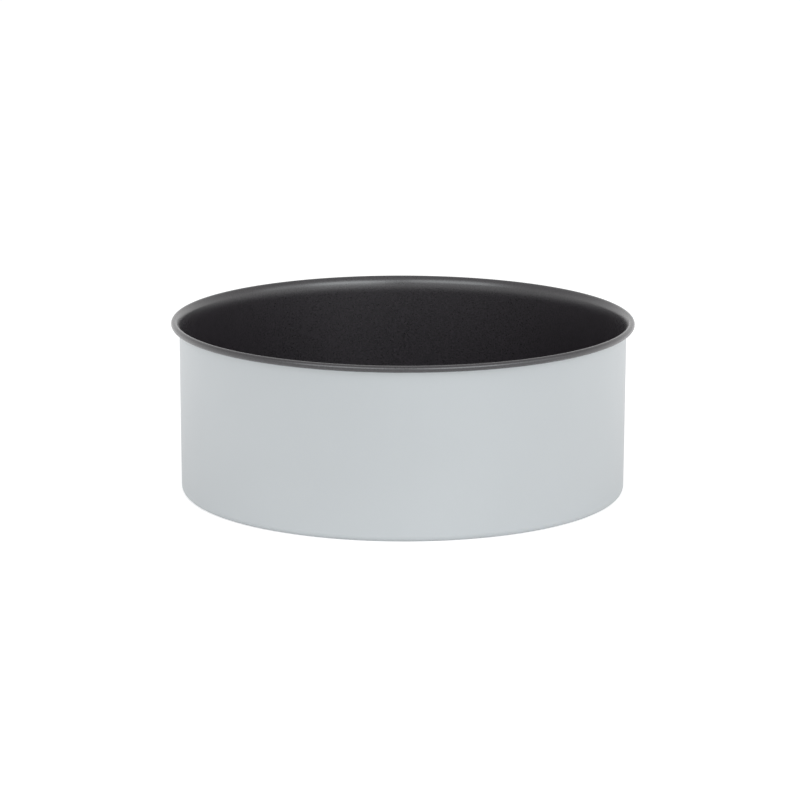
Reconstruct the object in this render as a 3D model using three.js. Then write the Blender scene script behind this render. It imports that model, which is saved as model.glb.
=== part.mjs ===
// Loose-base cake tin, in millimetres, +Z up, with its origin at the centre of the underside.
// The wall is one drawn steel sheet: a ledge turned in at the foot, a straight side and a rolled rim.
// The base is a loose pressed plate that rests on the ledge and lifts out through the mouth.

import * as THREE from "three";
import { mergeGeometries } from "three/addons/utils/BufferGeometryUtils.js";

// Wall
const INSIDE_DIAMETER = 230; // across the mouth, where the rim's first bend starts
const HEIGHT = 90; // underside of the ledge to the top of the rim
const WALL_SHEET = 0.7;
const WALL_DRAFT = 0.32; // degrees that the side opens towards the mouth
const FOOT_RADIUS = 3.2; // outside of the bend between the ledge and the side
const LEDGE_REACH = 10; // inside of the side, at the foot bend, to the edge of the opening

// Rolled rim, with its radii on the lining face
const LEAD_RADIUS = 25; // wide bend that starts to lead the side outwards
const LEAD_TURN = 12; // degrees from upright, where the lead ends
const FLARE_RADIUS = 6.6; // bend that carries the edge on outwards
const FLARE_TURN = 29; // degrees
const CURL_RADIUS = 1.7; // tight roll that takes the edge over, down and back under the flare
const CURL_TURN = 279; // degrees

// Loose base
const BASE_SHEET = 0.8;
const EDGE_CLEARANCE = 0.2; // flat of the base's seat to the start of the foot bend
const PANEL_LIFT = 0.2; // underside of the panel above the underside of the wall
const STEP_RADIUS = 1.2; // inside of both bends of the step between the seat and the panel
const STEP_CLEARANCE = 0.5; // start of the step to the edge of the opening

// Finishes
const OUTER_FINISH = new THREE.Color("#c8cdcf");
const LINING = new THREE.Color("#2b292b");
const UNTINTED = new THREE.Color(1, 1, 1);
const LINING_TINT = new THREE.Color(
  LINING.r / OUTER_FINISH.r,
  LINING.g / OUTER_FINISH.g,
  LINING.b / OUTER_FINISH.b,
);

// Facets
const ROUND_FACETS = 72; // round the tin
const BEND_FACET = 22.5; // degrees, along a bend

const { degToRad, radToDeg, lerp } = THREE.MathUtils;

// A section lies in a plane through the axis: x is the distance from the axis and y is the height.
// Directions in it are in degrees: 0 points away from the axis and 90 points up.
function reach(length, direction) {
  const angle = degToRad(direction);
  return new THREE.Vector2(length * Math.cos(angle), length * Math.sin(angle));
}

function bend(centre, radius, from, to) {
  const facets = Math.ceil(Math.abs(to - from) / BEND_FACET);
  return Array.from({ length: facets + 1 }, (_, i) =>
    reach(radius, lerp(from, to, i / facets)).add(centre),
  );
}

// One coated sheet, turned round the axis: its outer face runs outwards and up, its lining face comes back.
function coatedSheet(name, outerFace, liningFace) {
  const faces = [
    [outerFace, UNTINTED],
    [liningFace, LINING_TINT],
  ].map(([profile, tint]) => {
    const face = new THREE.LatheGeometry(profile, ROUND_FACETS);
    const tints = Array(face.getAttribute("position").count).fill(tint.toArray()).flat();
    return face.setAttribute("color", new THREE.Float32BufferAttribute(tints, 3));
  });
  const finish = new THREE.MeshStandardMaterial({
    color: OUTER_FINISH,
    vertexColors: true,
    roughness: 0.5,
    metalness: 0,
  });
  const sheet = new THREE.Mesh(mergeGeometries(faces), finish);
  sheet.name = name;
  sheet.rotation.x = Math.PI / 2; // the profiles are turned about Y, and the tin stands along Z
  return sheet;
}

// Bend centres of the wall, from the rim down
const sideOut = 180 - WALL_DRAFT; // from the lead's centre square to the side
const leadEnd = 180 - LEAD_TURN;
const flareEnd = leadEnd - FLARE_TURN;
const curlEnd = flareEnd - CURL_TURN;
const leadToFlare = reach(LEAD_RADIUS - FLARE_RADIUS, leadEnd);
const flareToCurl = reach(FLARE_RADIUS - CURL_RADIUS, flareEnd);
const lead = new THREE.Vector2(
  INSIDE_DIAMETER / 2 - reach(LEAD_RADIUS, sideOut).x,
  HEIGHT - CURL_RADIUS - flareToCurl.y - leadToFlare.y,
);
const flare = lead.clone().add(leadToFlare);
const curl = flare.clone().add(flareToCurl);
const footLining = FOOT_RADIUS - WALL_SHEET;
const footUnderLead = lead.clone().add(reach(LEAD_RADIUS + footLining, sideOut));
const footDrop = footUnderLead.y - FOOT_RADIUS;
const foot = new THREE.Vector2(footUnderLead.x - footDrop * Math.tan(degToRad(WALL_DRAFT)), FOOT_RADIUS);
const openingRadius = foot.x + footLining - LEDGE_REACH;

function tinWall() {
  const ledgeEdge = new THREE.Vector2(openingRadius, WALL_SHEET);
  const rolledEdge = reach(CURL_RADIUS, curlEnd).add(curl);
  const outerFace = [
    ledgeEdge,
    new THREE.Vector2(openingRadius, 0),
    ...bend(foot, FOOT_RADIUS, -90, -WALL_DRAFT),
    ...bend(lead, LEAD_RADIUS - WALL_SHEET, sideOut, leadEnd),
    ...bend(flare, FLARE_RADIUS - WALL_SHEET, leadEnd, flareEnd).slice(1),
    ...bend(curl, CURL_RADIUS - WALL_SHEET, flareEnd, curlEnd).slice(1),
    rolledEdge,
  ];
  const liningFace = [
    ...bend(curl, CURL_RADIUS, curlEnd, flareEnd),
    ...bend(flare, FLARE_RADIUS, flareEnd, leadEnd).slice(1),
    ...bend(lead, LEAD_RADIUS, leadEnd, sideOut).slice(1),
    ...bend(foot, footLining, -WALL_DRAFT, -90),
    ledgeEdge,
  ];
  return coatedSheet("tin_wall", outerFace, liningFace);
}

// The base's section has its height 0 at the underside of its seat, on the ledge.
function looseBase() {
  const drop = WALL_SHEET - PANEL_LIFT;
  const stepReach = 2 * STEP_RADIUS + BASE_SHEET;
  const stepTurn = radToDeg(Math.acos(1 - drop / stepReach));
  const upper = new THREE.Vector2(openingRadius - STEP_CLEARANCE, -STEP_RADIUS);
  const lower = upper.clone().add(reach(stepReach, 90 + stepTurn));
  const edge = new THREE.Vector2(foot.x - EDGE_CLEARANCE, BASE_SHEET / 2);
  const outerFace = [
    new THREE.Vector2(0, -drop),
    ...bend(lower, STEP_RADIUS + BASE_SHEET, -90, stepTurn - 90),
    ...bend(upper, STEP_RADIUS, 90 + stepTurn, 90).slice(1),
    ...bend(edge, BASE_SHEET / 2, -90, 0),
  ];
  const liningFace = [
    ...bend(edge, BASE_SHEET / 2, 0, 90),
    ...bend(upper, STEP_RADIUS + BASE_SHEET, 90, 90 + stepTurn),
    ...bend(lower, STEP_RADIUS, stepTurn - 90, -90).slice(1),
    new THREE.Vector2(0, BASE_SHEET - drop),
  ];
  const base = coatedSheet("loose_base", outerFace, liningFace);
  base.position.z = WALL_SHEET;
  return base;
}

const cakeTin = new THREE.Group();
cakeTin.add(tinWall(), looseBase());

export default cakeTin;
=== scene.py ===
"""Loose-base cake tin: the coated sheet-steel wall and its loose base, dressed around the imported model."""

import math

import bmesh
import bpy
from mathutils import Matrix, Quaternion, Vector


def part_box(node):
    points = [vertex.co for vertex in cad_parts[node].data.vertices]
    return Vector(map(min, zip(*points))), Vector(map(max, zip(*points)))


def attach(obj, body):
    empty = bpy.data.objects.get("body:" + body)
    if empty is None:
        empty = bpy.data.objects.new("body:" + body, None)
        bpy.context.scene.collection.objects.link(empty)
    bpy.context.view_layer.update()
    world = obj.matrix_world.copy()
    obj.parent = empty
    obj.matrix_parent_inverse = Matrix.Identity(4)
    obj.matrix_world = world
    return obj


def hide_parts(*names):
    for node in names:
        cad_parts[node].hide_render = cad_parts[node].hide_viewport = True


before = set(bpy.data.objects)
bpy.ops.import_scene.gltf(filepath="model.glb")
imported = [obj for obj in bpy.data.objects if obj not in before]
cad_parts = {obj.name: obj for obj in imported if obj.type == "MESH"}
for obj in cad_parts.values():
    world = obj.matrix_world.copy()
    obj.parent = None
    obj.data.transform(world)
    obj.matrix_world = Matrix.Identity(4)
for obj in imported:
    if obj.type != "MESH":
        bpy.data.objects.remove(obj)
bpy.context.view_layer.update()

MM = 0.001
wall_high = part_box("tin_wall")[1]
base_low, base_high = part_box("loose_base")

# Wall, as in the construction
WALL_SHEET = 0.7 * MM
WALL_DRAFT = 0.32  # degrees that the side opens towards the mouth
FOOT_RADIUS = 3.2 * MM  # outside of the bend between the ledge and the side
LEDGE_REACH = 10 * MM  # inside of the side, at the foot bend, to the edge of the opening

# Rolled rim, with its radii on the lining face and its turns in degrees
LEAD_RADIUS = 25 * MM  # wide bend that starts to lead the side outwards
LEAD_TURN = 12  # from upright, where the lead ends
FLARE_RADIUS = 6.6 * MM  # bend that carries the edge on outwards
FLARE_TURN = 29
CURL_RADIUS = 1.7 * MM  # tight roll that takes the edge over, down and back under the flare
CURL_TURN = 279

# Loose base
BASE_SHEET = 0.8 * MM
STEP_RADIUS = 1.2 * MM  # inside of both bends of the step between the seat and the panel
STEP_CLEARANCE = 0.5 * MM  # start of the step to the edge of the opening

# Facets of the finished sheets
ROUND_FACETS = 288  # round the tin
BEND_FACET = 4  # degrees, along a bend
CREASE = math.radians(40)  # least angle that is shaded as a corner
MERGE_GAP = 0.001 * MM
CARRIER_RADIUS = 1  # circle that carries a section round the tin

# The outer mark is 1 on the outer face of a sheet, 0 on its lining and between on a cut edge
CUT_EDGE_MARK = 0.25
OUTER_FACE_MARK = 0.75

# Finishes, with linear colours
OUTER_COLOUR = (0.626, 0.65, 0.665)
LINING_COLOUR = (0.017, 0.0135, 0.0175)
BASE_COLOUR = (0.024, 0.021, 0.0245)
LINING_GRAIN = {"Grain Size": 0.8 * MM, "Grain Contrast": 1.05, "Cloud Size": 30 * MM, "Cloud Contrast": 0.15}
LINING_RELIEF = {"Strength": 0.9, "Distance": 0.05 * MM}
GLAZE_ROUGHNESS = 0.27  # glossy skin of a glazed coat
GLAZE_IOR = 1.85
NOISE_SPAN = (0.3, 0.7)  # part of a noise that is spread out to 0 and 1
GRAIN_DETAIL = 1
CLOUD_DETAIL = 3
CUT_STEEL_COLOUR = (0.56, 0.55, 0.53)
STREAK_WIDTH = 0.25 * MM
STREAK_STRETCH = (1, 1, 0.15)
STREAK_DETAIL = 2
STREAK_TONE = (0.8, 1.1)
STREAK_ROUGHNESS = (0.3, 0.5)

# View, in metres, with the lens and the sensor in millimetres
CAMERA_PLACE = Vector((0, -1.978, 0.4885))
CAMERA_AIM = Vector((-0.00143, 0, 0.04655))
CAMERA_ROLL = math.radians(0.12)
CAMERA_LENS = 175.25
CAMERA_SENSOR = 36

# Surround: its strength at the horizon and overhead, and the rise at which each of them ends
WHITE = (1, 1, 1, 1)
FRONT_HORIZON = 0.75
BACK_HORIZON = 1.0
CEILING = 0.54
HORIZON_RISE = 0.1
CEILING_RISE = 0.6

# Softboxes: azimuth and elevation in degrees, width and height in metres, and power in watts
SOFTBOX_DISTANCE = 1.7
SOFTBOX_COLOUR = (0.94, 0.985, 1)
SOFTBOXES = {
    "left": (-39, 34, 1.5, 0.9, 1.4),
    "left_core": (-28, 34, 1.3, 0.8, 5.4),
    "right": (48, 29, 2.2, 0.9, 4.2),
    "right_core": (29, 29, 1.2, 0.8, 5.6),
}

# Floor, and how much it is lifted towards white where it is seen and where it is reflected; the reflected
# lift is painted light, a glow that grows from none in front of the tin to most behind it
FLOOR_SIDE = 12
FLOOR_COLOUR = (0.75, 0.75, 0.75, 1)
SEEN_LIFT = 0.58
FRONT_LIFT = 0.0
BACK_LIFT = 0.6
LIFT_REACH = 0.5  # distance before and behind the tin's axis, over which the reflected lift changes


# Nodes


def feed(tree, node, inputs):
    """Feeds a node's inputs, each from a socket to link or a value to set."""
    for name, value in inputs.items():
        if isinstance(value, bpy.types.NodeSocket):
            tree.links.new(value, node.inputs[name])
        else:
            node.inputs[name].default_value = value


def add(tree, kind, inputs=None, **settings):
    """Adds a node to a tree, with its settings and what feeds it."""
    node = tree.nodes.new(kind)
    for name, value in settings.items():
        setattr(node, name, value)
    feed(tree, node, inputs or {})
    return node


def sockets(tree, in_out, kinds):
    """Makes a tree's inputs or outputs from their names and kinds."""
    for name, kind in kinds.items():
        tree.interface.new_socket(name=name, in_out=in_out, socket_type=f"NodeSocket{kind}")


def worked_out(tree, operation, *values):
    """The result of a sum with sockets and numbers."""
    return add(tree, "ShaderNodeMath", dict(enumerate(values)), operation=operation).outputs[0]


def spread(tree, value, span, start=0, end=1, **settings):
    """A value that goes from start to end, spread over a span."""
    low, high = span
    return add(tree, "ShaderNodeMapRange", {
        "Value": value,
        "From Min": start,
        "From Max": end,
        "To Min": low,
        "To Max": high,
    }, **settings).outputs[0]


def split(tree, place):
    """The X, Y and Z of a place or a direction."""
    return add(tree, "ShaderNodeSeparateXYZ", {0: place}).outputs


def object_place(tree):
    """The place on the object's own surface, for a material."""
    return tree.nodes.new("ShaderNodeTexCoord").outputs["Object"]


# Sections: x is the distance from the tin's axis and y is the height, and directions are in degrees


def reach(length, direction):
    angle = math.radians(direction)
    return Vector((length * math.cos(angle), length * math.sin(angle)))


def bend(centre, radius, start, end):
    facets = math.ceil(abs(end - start) / BEND_FACET)
    return [centre + reach(radius, start + (end - start) * i / facets) for i in range(facets + 1)]


# Bend centres of the wall, from the rim down
SIDE_OUT = 180 - WALL_DRAFT
LEAD_END = 180 - LEAD_TURN
FLARE_END = LEAD_END - FLARE_TURN
CURL_END = FLARE_END - CURL_TURN
curl = Vector((wall_high.x - CURL_RADIUS, wall_high.z - CURL_RADIUS))
flare = curl - reach(FLARE_RADIUS - CURL_RADIUS, FLARE_END)
lead = flare - reach(LEAD_RADIUS - FLARE_RADIUS, LEAD_END)
foot_lining = FOOT_RADIUS - WALL_SHEET
foot_under_lead = lead + reach(LEAD_RADIUS + foot_lining, SIDE_OUT)
foot_drop = foot_under_lead.y - FOOT_RADIUS
foot = Vector((foot_under_lead.x - foot_drop * math.tan(math.radians(WALL_DRAFT)), FOOT_RADIUS))
opening_radius = foot.x + foot_lining - LEDGE_REACH


def wall_section():
    """The wall's outer face from the opening to the rolled edge, and its lining face back again."""
    outer = [
        Vector((opening_radius, 0)),
        *bend(foot, FOOT_RADIUS, -90, -WALL_DRAFT),
        *bend(lead, LEAD_RADIUS - WALL_SHEET, SIDE_OUT, LEAD_END),
        *bend(flare, FLARE_RADIUS - WALL_SHEET, LEAD_END, FLARE_END)[1:],
        *bend(curl, CURL_RADIUS - WALL_SHEET, FLARE_END, CURL_END)[1:],
    ]
    lining = [
        *bend(curl, CURL_RADIUS, CURL_END, FLARE_END),
        *bend(flare, FLARE_RADIUS, FLARE_END, LEAD_END)[1:],
        *bend(lead, LEAD_RADIUS, LEAD_END, SIDE_OUT)[1:],
        *bend(foot, foot_lining, -WALL_DRAFT, -90),
        Vector((opening_radius, WALL_SHEET)),
    ]
    return outer, lining


def base_section():
    """The base's underside from the axis to its edge, and its lining face from the edge to the axis."""
    drop = WALL_SHEET - base_low.z
    step_reach = 2 * STEP_RADIUS + BASE_SHEET
    step_turn = math.degrees(math.acos(1 - drop / step_reach))
    upper = Vector((opening_radius - STEP_CLEARANCE, WALL_SHEET - STEP_RADIUS))
    lower = upper + reach(step_reach, 90 + step_turn)
    edge = Vector((base_high.x - BASE_SHEET / 2, WALL_SHEET + BASE_SHEET / 2))
    outer = [
        Vector((0, base_low.z)),
        *bend(lower, STEP_RADIUS + BASE_SHEET, -90, step_turn - 90),
        *bend(upper, STEP_RADIUS, 90 + step_turn, 90)[1:],
        edge + reach(BASE_SHEET / 2, -90),
    ]
    lining = [
        *bend(edge, BASE_SHEET / 2, -90, 90)[1:],
        *bend(upper, STEP_RADIUS + BASE_SHEET, 90, 90 + step_turn),
        *bend(lower, STEP_RADIUS, step_turn - 90, -90)[1:],
        Vector((0, base_low.z + BASE_SHEET)),
    ]
    return outer, lining


# Turning a section into a sheet


def turned_sheet_tree():
    """Turns a section round the tin's axis, with a finish for each face and for the cut edges."""
    tree = bpy.data.node_groups.new("Turned sheet", "GeometryNodeTree")
    sockets(tree, "INPUT", {
        "Section": "Geometry",
        "Facets": "Int",
        "Crease": "Float",
        "Outer Finish": "Material",
        "Lining": "Material",
        "Cut Edge": "Material",
    })
    sockets(tree, "OUTPUT", {"Sheet": "Geometry"})
    given = tree.nodes.new("NodeGroupInput").outputs

    def above(value, limit):
        return add(tree, "FunctionNodeCompare", {0: value, 1: limit}, operation="GREATER_THAN").outputs[0]

    # The section is carried by a circle, so it is drawn from the circle and not from the axis
    turn = add(tree, "GeometryNodeCurvePrimitiveCircle", {
        "Resolution": given["Facets"],
        "Radius": CARRIER_RADIUS,
    })
    place = split(tree, tree.nodes.new("GeometryNodeInputPosition").outputs[0])
    carried = add(tree, "ShaderNodeCombineXYZ", {
        "X": worked_out(tree, "SUBTRACT", place["X"], CARRIER_RADIUS),
        "Y": worked_out(tree, "MULTIPLY", place["Y"], -1),
    })
    section = add(tree, "GeometryNodeMeshToCurve", {"Mesh": given["Section"]})
    section = add(tree, "GeometryNodeSetPosition", {
        "Geometry": section.outputs[0],
        "Position": carried.outputs[0],
    })
    sheet = add(tree, "GeometryNodeCurveToMesh", {
        "Curve": turn.outputs[0],
        "Profile Curve": section.outputs[0],
    })
    sheet = add(tree, "GeometryNodeMergeByDistance", {
        "Geometry": sheet.outputs[0],
        "Distance": MERGE_GAP,
    })

    # Smooth all over, but for the corners of the cut edges
    angle = tree.nodes.new("GeometryNodeInputMeshEdgeAngle").outputs["Unsigned Angle"]
    sheet = add(tree, "GeometryNodeSetShadeSmooth", {"Geometry": sheet.outputs[0], "Shade Smooth": True})
    sheet = add(tree, "GeometryNodeSetShadeSmooth", {
        "Geometry": sheet.outputs[0],
        "Selection": above(angle, given["Crease"]),
        "Shade Smooth": False,
    }, domain="EDGE")
    sheet = add(tree, "GeometryNodeRealizeInstances", {"Geometry": sheet.outputs[0]})

    # The lining goes on all over, then the cut edges and the outer face get their own finishes
    mark = add(tree, "GeometryNodeInputNamedAttribute", {"Name": "outer"}, data_type="FLOAT").outputs[0]
    finishes = {
        "Lining": {},
        "Cut Edge": {"Selection": above(mark, CUT_EDGE_MARK)},
        "Outer Finish": {"Selection": above(mark, OUTER_FACE_MARK)},
    }
    for finish, faces in finishes.items():
        sheet = add(tree, "GeometryNodeSetMaterial", {
            "Geometry": sheet.outputs[0],
            "Material": given[finish],
            **faces,
        })
    add(tree, "NodeGroupOutput", {"Sheet": sheet.outputs[0]})
    return tree


def turned_sheet(name, tree, section, closed, finishes):
    """A finished sheet as a plain mesh object, from its section's two faces."""
    outer, lining = section
    points = [(p.x, p.y, 0) for p in outer + lining]
    edges = [(i, i + 1) for i in range(len(points) - 1)]
    if closed:
        edges.append((len(points) - 1, 0))
    drawn = bpy.data.meshes.new(f"{name}_section")
    drawn.from_pydata(points, edges, [])
    marks = drawn.attributes.new("outer", "FLOAT", "POINT")
    marks.data.foreach_set("value", [1.0] * len(outer) + [0.0] * len(lining))
    sheet = bpy.data.objects.new(name, drawn)
    bpy.context.scene.collection.objects.link(sheet)

    modifier = sheet.modifiers.new("Turned sheet", "NODES")
    modifier.node_group = tree
    given = {"Facets": ROUND_FACETS, "Crease": CREASE, **finishes}
    for socket in tree.interface.items_tree:
        if socket.in_out == "INPUT" and socket.name in given:
            modifier[socket.identifier] = given[socket.name]
    evaluated = sheet.evaluated_get(bpy.context.evaluated_depsgraph_get())
    turned = bpy.data.meshes.new_from_object(evaluated)
    sheet.modifiers.remove(modifier)
    sheet.data = turned
    bpy.data.meshes.remove(drawn)
    turned.name = name

    shell = bmesh.new()
    shell.from_mesh(turned)
    bmesh.ops.recalc_face_normals(shell, faces=shell.faces)
    shell.to_mesh(turned)
    shell.free()
    return sheet


# Finishes


def new_material(name):
    """A new material, with its tree and its shader."""
    material = bpy.data.materials.new(name)
    material.use_nodes = True
    tree = material.node_tree
    return material, tree, tree.nodes["Principled BSDF"]


def tinted(tree, colour, tone):
    """A colour, made darker or paler by a tone."""
    return add(tree, "ShaderNodeVectorMath", {0: colour, "Scale": tone}, operation="SCALE").outputs[0]


def coat_grain_group():
    """The fine grain and the broad cloudiness of a baked coat."""
    tree = bpy.data.node_groups.new("Coat grain", "ShaderNodeTree")
    sockets(tree, "INPUT", {
        "Place": "Vector",
        "Grain Size": "Float",
        "Grain Contrast": "Float",
        "Cloud Size": "Float",
        "Cloud Contrast": "Float",
    })
    sockets(tree, "OUTPUT", {"Tone": "Float", "Grain": "Float"})
    given = tree.nodes.new("NodeGroupInput").outputs

    def noise(size, detail):
        texture = add(tree, "ShaderNodeTexNoise", {
            "Vector": given["Place"],
            "Scale": worked_out(tree, "DIVIDE", 1, size),
            "Detail": detail,
        })
        return spread(tree, texture.outputs[0], (0, 1), *NOISE_SPAN)

    def swing(value, contrast):
        """A factor about 1 that follows a value from 0 to 1."""
        centred = worked_out(tree, "SUBTRACT", value, 0.5)
        return worked_out(tree, "MULTIPLY_ADD", centred, contrast, 1)

    grain = noise(given["Grain Size"], GRAIN_DETAIL)
    cloud = noise(given["Cloud Size"], CLOUD_DETAIL)
    grain_swing = swing(grain, given["Grain Contrast"])
    cloud_swing = swing(cloud, given["Cloud Contrast"])
    tone = worked_out(tree, "MULTIPLY", grain_swing, cloud_swing)
    add(tree, "NodeGroupOutput", {"Tone": tone, "Grain": grain})
    return tree


def coat(name, grain_group, colour, grain, relief, roughness, shine):
    """A baked coat: its colour, what feeds its grain and its relief, its least and greatest roughness,
    and what feeds its shader for the share of metal flake, the gloss and the weight of the skin."""
    material, tree, shader = new_material(name)
    place = object_place(tree)
    texture = add(tree, "ShaderNodeGroup", {"Place": place, **grain}, node_tree=grain_group).outputs
    bump = add(tree, "ShaderNodeBump", {"Height": texture["Grain"], **relief})
    feed(tree, shader, {
        "Base Color": tinted(tree, colour, texture["Tone"]),
        "Roughness": spread(tree, texture["Grain"], roughness),
        "Coat Roughness": GLAZE_ROUGHNESS,
        "Coat IOR": GLAZE_IOR,
        "Normal": bump.outputs[0],
        **shine,
    })
    return material


def cut_steel():
    """Bare sheared steel, with fine streaks across the sheet's thickness."""
    material, tree, shader = new_material("cut_steel")
    stretched = add(tree, "ShaderNodeMapping", {"Vector": object_place(tree), "Scale": STREAK_STRETCH})
    streaks = add(tree, "ShaderNodeTexNoise", {
        "Vector": stretched.outputs[0],
        "Scale": 1 / STREAK_WIDTH,
        "Detail": STREAK_DETAIL,
    }).outputs[0]
    feed(tree, shader, {
        "Base Color": tinted(tree, CUT_STEEL_COLOUR, spread(tree, streaks, STREAK_TONE)),
        "Metallic": 1,
        "Roughness": spread(tree, streaks, STREAK_ROUGHNESS),
    })
    return material


# Stage


def white_surround():
    """A room that is palest at the horizon behind the tin and greyest overhead."""
    world = bpy.data.worlds.new("white_surround")
    bpy.context.scene.world = world
    world.use_nodes = True
    tree = world.node_tree
    towards = split(tree, tree.nodes.new("ShaderNodeTexCoord").outputs["Generated"])
    horizon = spread(tree, towards["Y"], (FRONT_HORIZON, BACK_HORIZON), -1, 1)
    room = spread(
        tree, towards["Z"], (horizon, CEILING), HORIZON_RISE, CEILING_RISE, interpolation_type="SMOOTHSTEP",
    )
    feed(tree, tree.nodes["Background"], {"Color": WHITE, "Strength": room})


def white_floor():
    """Pale paper, lifted to white where it is seen, and, where it is reflected, given a painted glow that is
    none in front of the tin and greatest behind it.
    """
    half = FLOOR_SIDE / 2
    corners = [(-half, -half, 0), (half, -half, 0), (half, half, 0), (-half, half, 0)]
    floor_mesh = bpy.data.meshes.new("floor")
    floor_mesh.from_pydata(corners, [], [(0, 1, 2, 3)])
    floor = bpy.data.objects.new("floor", floor_mesh)
    bpy.context.scene.collection.objects.link(floor)

    material, tree, shader = new_material("floor_paper")
    light_path = tree.nodes.new("ShaderNodeLightPath").outputs
    reflected = worked_out(tree, "MAXIMUM", light_path["Is Glossy Ray"], light_path["Is Transmission Ray"])
    place = split(tree, object_place(tree))
    # Painted light: for reflections only, the floor glows from none in front of the tin to most behind it, so
    # the tin reflects a darker floor in front and a paler one behind
    painted_glow_sweep = spread(tree, place["Y"], (FRONT_LIFT, BACK_LIFT), -LIFT_REACH, LIFT_REACH)
    painted_reflected_glow = worked_out(tree, "MULTIPLY", reflected, painted_glow_sweep)
    feed(tree, shader, {
        "Base Color": FLOOR_COLOUR,
        "Roughness": 1,
        "Specular IOR Level": 0,
        "Emission Color": WHITE,
        "Emission Strength": worked_out(tree, "MULTIPLY_ADD", light_path["Is Camera Ray"], SEEN_LIFT, painted_reflected_glow),
    })
    floor_mesh.materials.append(material)


def softbox(name, azimuth, elevation, width, height, power):
    """A soft lamp that faces the tin, turned from the camera's side by the azimuth."""
    turn = math.radians(azimuth)
    rise = math.radians(elevation)
    towards = Vector((math.sin(turn) * math.cos(rise), -math.cos(turn) * math.cos(rise), math.sin(rise)))
    data = bpy.data.lights.new(f"softbox_{name}", "AREA")
    data.energy = power
    data.color = SOFTBOX_COLOUR
    data.shape = "RECTANGLE"
    data.size = width
    data.size_y = height
    lamp = bpy.data.objects.new(data.name, data)
    lamp.location = towards * SOFTBOX_DISTANCE
    lamp.rotation_euler = towards.to_track_quat("Z", "Y").to_euler()
    lamp.visible_camera = False
    bpy.context.scene.collection.objects.link(lamp)


def photo_camera():
    data = bpy.data.cameras.new("photo_camera")
    data.lens = CAMERA_LENS
    data.sensor_width = CAMERA_SENSOR
    camera = bpy.data.objects.new("photo_camera", data)
    camera.location = CAMERA_PLACE
    aim = (CAMERA_AIM - CAMERA_PLACE).to_track_quat("-Z", "Y")
    camera.rotation_euler = (aim @ Quaternion((0, 0, 1), CAMERA_ROLL)).to_euler()
    bpy.context.scene.collection.objects.link(camera)
    bpy.context.scene.camera = camera


photo_camera()
white_surround()
white_floor()
for name, settings in SOFTBOXES.items():
    softbox(name, *settings)
bpy.context.scene.view_settings.view_transform = "Standard"

grain_group = coat_grain_group()
outer_finish = coat(
    "outer_finish", grain_group, OUTER_COLOUR,
    grain={"Grain Size": 0.9 * MM, "Grain Contrast": 0.01, "Cloud Size": 60 * MM, "Cloud Contrast": 0.02},
    relief={"Strength": 0.02, "Distance": 0.02 * MM},
    roughness=(0.37, 0.4),
    shine={"Metallic": 0.6, "Specular IOR Level": 0.5, "Coat Weight": 0},
)
nonstick_lining = coat(
    "nonstick_lining", grain_group, LINING_COLOUR,
    grain=LINING_GRAIN,
    relief=LINING_RELIEF,
    roughness=(0.44, 0.58),
    shine={"Metallic": 0, "Specular IOR Level": 0.3, "Coat Weight": 1},
)
base_lining = coat(
    "base_lining", grain_group, BASE_COLOUR,
    grain=LINING_GRAIN,
    relief=LINING_RELIEF,
    roughness=(0.52, 0.66),
    shine={"Metallic": 0, "Specular IOR Level": 0.2, "Coat Weight": 0},
)
steel = cut_steel()

sheet_tree = turned_sheet_tree()
wall_sheet = turned_sheet("wall_sheet", sheet_tree, wall_section(), closed=True, finishes={
    "Outer Finish": outer_finish,
    "Lining": nonstick_lining,
    "Cut Edge": steel,
})
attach(wall_sheet, "wall")
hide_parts("tin_wall")

base_plate = turned_sheet("base_plate", sheet_tree, base_section(), closed=False, finishes={
    "Outer Finish": outer_finish,
    "Lining": base_lining,
    "Cut Edge": base_lining,
})
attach(base_plate, "base")
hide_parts("loose_base")
